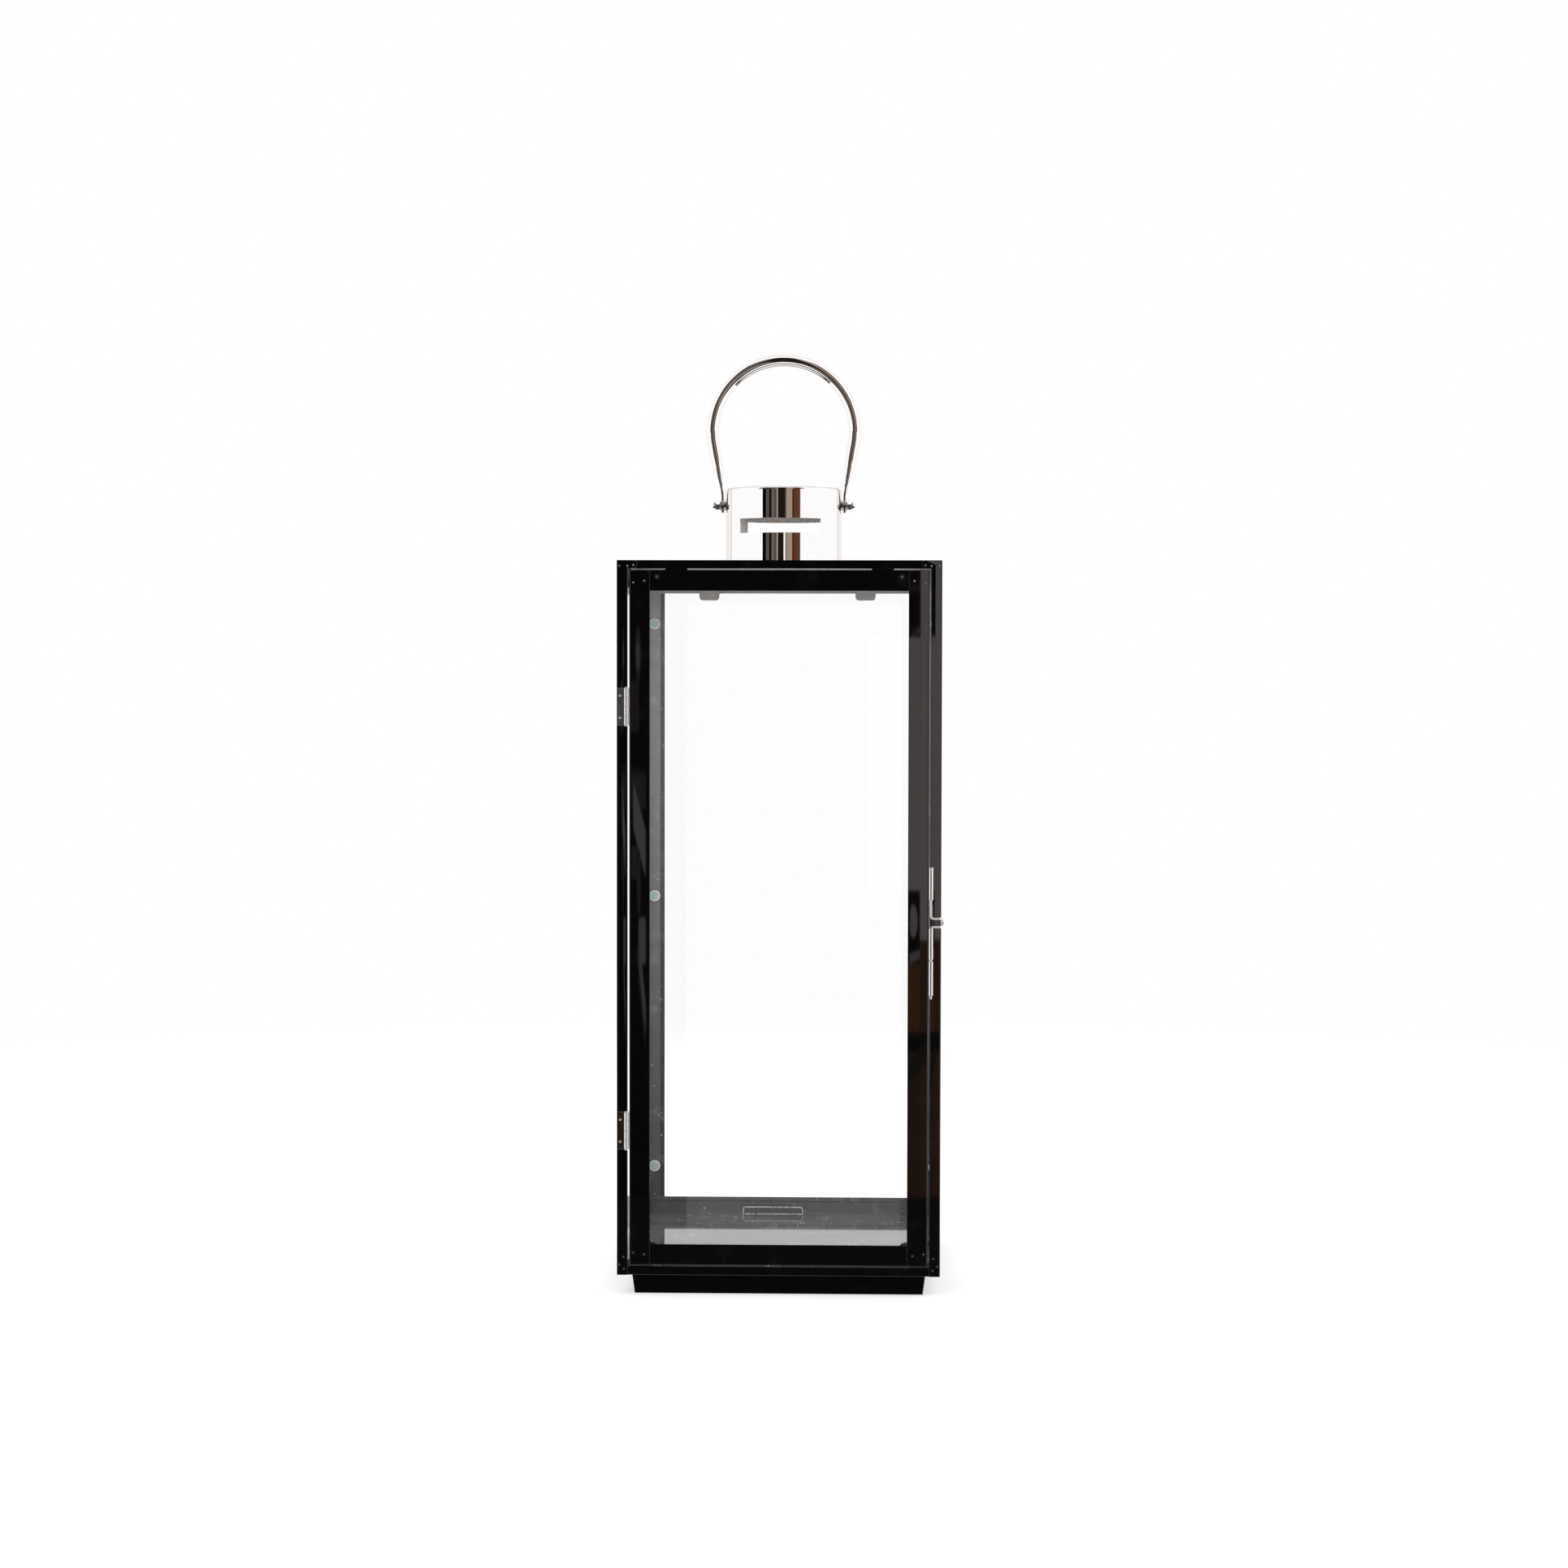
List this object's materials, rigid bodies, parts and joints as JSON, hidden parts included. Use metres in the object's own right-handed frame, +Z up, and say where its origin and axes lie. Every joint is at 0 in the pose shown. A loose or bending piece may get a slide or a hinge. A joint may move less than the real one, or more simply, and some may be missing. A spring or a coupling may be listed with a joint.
{
  "type": "candle lantern",
  "caption": "Square candle lantern with glass sides, a hinged glass door, a vented round chimney and a swinging carrying handle.",
  "frame": {"origin": "middle of the plinth's flat underside", "axes": "+Z up along the height, -Y out of the door's face, +X to the right as the door is seen, with the hinges on the left"},
  "size_m": [0.2223, 0.2238, 0.6493],
  "materials": {
    "black_enamel": "gloss",
    "polished_steel": "polished",
    "clear_glass": "clear",
    "silicone_pad": "satin"
  },
  "bodies": {
    "lantern_body": {"base_pan": "black_enamel", "chimney": "polished_steel", "glass_back": "clear_glass", "glass_left": "clear_glass", "glass_pad_back_far_high": "silicone_pad", "glass_pad_back_far_low": "silicone_pad", "glass_pad_back_far_middle": "silicone_pad", "glass_pad_back_near_high": "silicone_pad", "glass_pad_back_near_low": "silicone_pad", "glass_pad_back_near_middle": "silicone_pad", "glass_pad_left_far_high": "silicone_pad", "glass_pad_left_far_low": "silicone_pad", "glass_pad_left_far_middle": "silicone_pad", "glass_pad_left_near_high": "silicone_pad", "glass_pad_left_near_low": "silicone_pad", "glass_pad_left_near_middle": "silicone_pad", "glass_pad_right_far_high": "silicone_pad", "glass_pad_right_far_low": "silicone_pad", "glass_pad_right_far_middle": "silicone_pad", "glass_pad_right_near_high": "silicone_pad", "glass_pad_right_near_low": "silicone_pad", "glass_pad_right_near_middle": "silicone_pad", "glass_right": "clear_glass", "hinge_lower_pin": "polished_steel", "hinge_lower_post_leaf": "polished_steel", "hinge_upper_pin": "polished_steel", "hinge_upper_post_leaf": "polished_steel", "inner_washer_left": "polished_steel", "inner_washer_right": "polished_steel", "outer_washer_left": "polished_steel", "outer_washer_right": "polished_steel", "pivot_nut_left": "polished_steel", "pivot_nut_right": "polished_steel", "pivot_screw_left": "polished_steel", "pivot_screw_right": "polished_steel", "plinth": "black_enamel", "post_back_left": "black_enamel", "post_back_right": "black_enamel", "post_front_left": "black_enamel", "post_front_right": "black_enamel", "rail_bottom_back": "black_enamel", "rail_bottom_front": "black_enamel", "rail_bottom_left": "black_enamel", "rail_bottom_right": "black_enamel", "rail_top_back": "black_enamel", "rail_top_left": "black_enamel", "rail_top_right": "black_enamel", "roof_pan": "black_enamel"},
    "door": {"clip_guide": "polished_steel", "door_glass": "clear_glass", "door_rail_bottom": "black_enamel", "door_rail_top": "black_enamel", "door_stile_left": "black_enamel", "door_stile_right": "black_enamel", "hinge_lower_door_leaf": "polished_steel", "hinge_upper_door_leaf": "polished_steel"},
    "clip": {"clip_wire": "polished_steel"},
    "handle": {"handle": "polished_steel"}
  },
  "joints": [
    {"name": "door_hinge", "type": "hinge", "parent": "lantern_body", "child": "door", "pos_m": [-0.1033, -0.11165, 0.2575], "axis": [0, 0, -1], "range_deg": [0, 170]},
    {"name": "clip_turn", "type": "hinge", "parent": "door", "child": "clip", "pos_m": [0.103, -0.1122, 0.2559], "axis": [0, 0, -1], "range_deg": [0, 150]},
    {"name": "handle_swing", "type": "hinge", "parent": "lantern_body", "child": "handle", "pos_m": [0, 0, 0.54345], "axis": [1, 0, 0], "range_deg": [-111, 111]}
  ]
}
